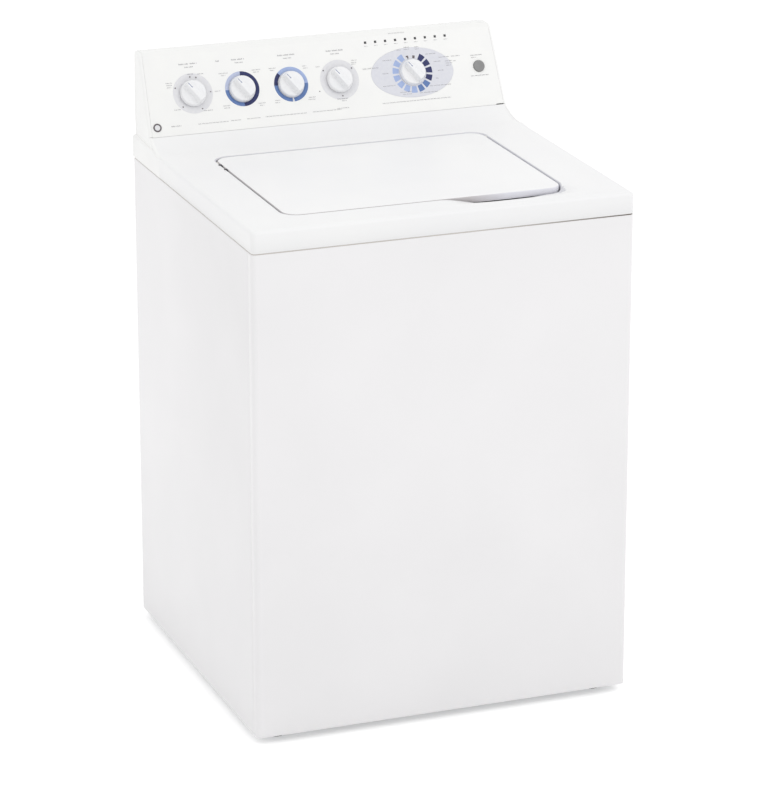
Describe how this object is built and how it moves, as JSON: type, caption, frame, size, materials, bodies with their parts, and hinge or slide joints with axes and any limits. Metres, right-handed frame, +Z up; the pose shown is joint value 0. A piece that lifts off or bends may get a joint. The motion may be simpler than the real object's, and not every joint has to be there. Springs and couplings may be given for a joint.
{
  "type": "top load washing machine",
  "caption": "Free-standing top-loading washing machine: white cabinet, flush lid, raised rear console with dial knobs, agitator basket hung in a suspended tub.",
  "frame": {"origin": "on the floor under the middle of the machine's box", "axes": "+Z up, -Y out of the front panel, +X to the right as seen from the front"},
  "size_m": [0.686, 0.668, 1.067],
  "materials": {
    "white_enamel": "gloss enamel",
    "white_cover": "gloss enamel",
    "white_plastic": "satin moulded",
    "console_white": "satin screen-printed",
    "knob_white": "satin moulded",
    "dial_print": "printed film",
    "button_grey": "satin moulded",
    "lamp_black": "smoked lens",
    "frame_steel": "zinc plated",
    "spring_steel": "drawn wire",
    "rubber_black": "moulded",
    "zinc_hardware": "zinc plated",
    "steel_shaft": "ground",
    "cast_alloy": "die cast",
    "basket_steel": "brushed stainless",
    "tub_plastic": "filled polypropylene",
    "ring_plastic": "moulded",
    "agitator_plastic": "moulded",
    "cup_plastic": "moulded",
    "acetal": "moulded",
    "switch_plastic": "moulded",
    "plunger_red": "moulded",
    "board_green": "solder mask",
    "motor_black": "black enamel",
    "hose_grey": "moulded",
    "harness_black": "loomed wire",
    "pump_plastic": "moulded"
  },
  "bodies": {
    "cabinet": {"cabinet_wrapper": "white_enamel", "front_panel": "white_enamel", "base_frame": "frame_steel", "suspension_brackets": "frame_steel", "levelling_feet": "rubber_black", "foot_locknuts": "zinc_hardware", "cabinet_screws": "zinc_hardware", "cord_gland": "rubber_black", "top_cover": "white_cover", "lid_hinge_bushes": "acetal", "lid_bumpers": "rubber_black", "lid_switch": "switch_plastic", "bleach_dispenser": "ring_plastic", "console_face": "console_white", "console_rear_cover": "white_enamel", "end_cap_left": "white_plastic", "end_cap_right": "white_plastic", "dial_overlays": "dial_print", "selector_switches": "switch_plastic", "indicator_lamps": "lamp_black", "control_board": "board_green", "pressure_switch": "switch_plastic", "inlet_valve": "switch_plastic", "fill_hose": "hose_grey", "drain_spigot": "pump_plastic", "suspension_rods": "zinc_hardware", "wiring_harness": "harness_black"},
    "lid": {"lid": "white_cover", "lid_liner": "white_cover", "lid_hinge_pins": "steel_shaft"},
    "switch_plunger": {"lid_switch_plunger": "plunger_red"},
    "load_knob": {"load_knob": "knob_white"},
    "rinse_knob": {"rinse_knob": "knob_white"},
    "temperature_knob": {"temperature_knob": "knob_white"},
    "option_knob": {"option_knob": "knob_white"},
    "cycle_knob": {"cycle_knob": "knob_white"},
    "start_button": {"start_button": "button_grey"},
    "tub": {"outer_tub": "tub_plastic", "tub_ring": "ring_plastic", "tub_seal": "rubber_black", "platform": "frame_steel", "drive_housing": "cast_alloy", "bearings": "steel_shaft", "motor_body": "motor_black", "pump_housing": "pump_plastic", "suspension_cups": "acetal", "suspension_springs": "spring_steel", "drain_hose": "hose_grey", "drive_belt": "rubber_black"},
    "basket": {"basket": "basket_steel", "balance_ring": "ring_plastic", "basket_hub": "cast_alloy", "spin_tube": "steel_shaft"},
    "agitator": {"agitator": "agitator_plastic", "drive_shaft": "steel_shaft", "drive_pulley": "cast_alloy", "softener_cup": "cup_plastic"},
    "auger": {"auger": "agitator_plastic"},
    "motor_rotor": {"motor_pulley": "cast_alloy"},
    "pump_rotor": {"pump_impeller": "harness_black"}
  },
  "joints": [
    {"name": "lid_hinge", "type": "hinge", "parent": "cabinet", "child": "lid", "pos_m": [-0.0055, 0.1, 0.908], "axis": [-1, 0, 0], "range_deg": [0, 105]},
    {"name": "lid_switch_travel", "type": "slide", "parent": "cabinet", "child": "switch_plunger", "axis": [0, 0, 1], "range_m": [-0.004, 0], "stiffness_N_per_m": 200, "springref_m": 0.002},
    {"name": "load_dial", "type": "hinge", "parent": "cabinet", "child": "load_knob", "pos_m": [-0.247, 0.2606, 0.99681], "axis": [0, -0.8878, 0.4603], "range_deg": [-135, 135]},
    {"name": "rinse_dial", "type": "hinge", "parent": "cabinet", "child": "rinse_knob", "pos_m": [-0.155, 0.2606, 0.99681], "axis": [0, -0.8878, 0.4603], "range_deg": [-135, 135]},
    {"name": "temperature_dial", "type": "hinge", "parent": "cabinet", "child": "temperature_knob", "pos_m": [-0.063, 0.2606, 0.99681], "axis": [0, -0.8878, 0.4603], "range_deg": [-135, 135]},
    {"name": "option_dial", "type": "hinge", "parent": "cabinet", "child": "option_knob", "pos_m": [0.029, 0.2606, 0.99681], "axis": [0, -0.8878, 0.4603], "range_deg": [-135, 135]},
    {"name": "cycle_dial", "type": "hinge", "parent": "cabinet", "child": "cycle_knob", "pos_m": [0.169, 0.26106, 0.99769], "axis": [0, -0.8878, 0.4603], "continuous": true},
    {"name": "start_press", "type": "slide", "parent": "cabinet", "child": "start_button", "axis": [0, 0.8878, -0.4603], "range_m": [0, 0.0025], "stiffness_N_per_m": 600, "springref_m": -0.001},
    {"name": "tub_bounce", "type": "slide", "parent": "cabinet", "child": "tub", "axis": [0, 0, 1], "range_m": [-0.025, 0.015], "stiffness_N_per_m": 14000, "springref_m": 0.03019, "deforming": ["suspension_springs", "drain_hose"]},
    {"name": "basket_spin", "type": "hinge", "parent": "tub", "child": "basket", "pos_m": [0, -0.008, 0.5], "axis": [0, 0, 1], "continuous": true},
    {"name": "agitator_drive", "type": "hinge", "parent": "tub", "child": "agitator", "pos_m": [0, -0.008, 0.4], "axis": [0, 0, 1], "continuous": true},
    {"name": "auger_ratchet", "type": "hinge", "parent": "agitator", "child": "auger", "pos_m": [0, -0.008, 0.7], "axis": [0, 0, 1], "continuous": true},
    {"name": "motor_spin", "type": "hinge", "parent": "tub", "child": "motor_rotor", "pos_m": [0.15, 0.092, 0.15], "axis": [0, 0, 1], "continuous": true},
    {"name": "pump_spin", "type": "hinge", "parent": "tub", "child": "pump_rotor", "pos_m": [-0.15, -0.118, 0.15], "axis": [0, 0, 1], "continuous": true}
  ],
  "couplings": [
    {"joint": "motor_spin", "follows": "agitator_drive", "ratio": 4}
  ]
}
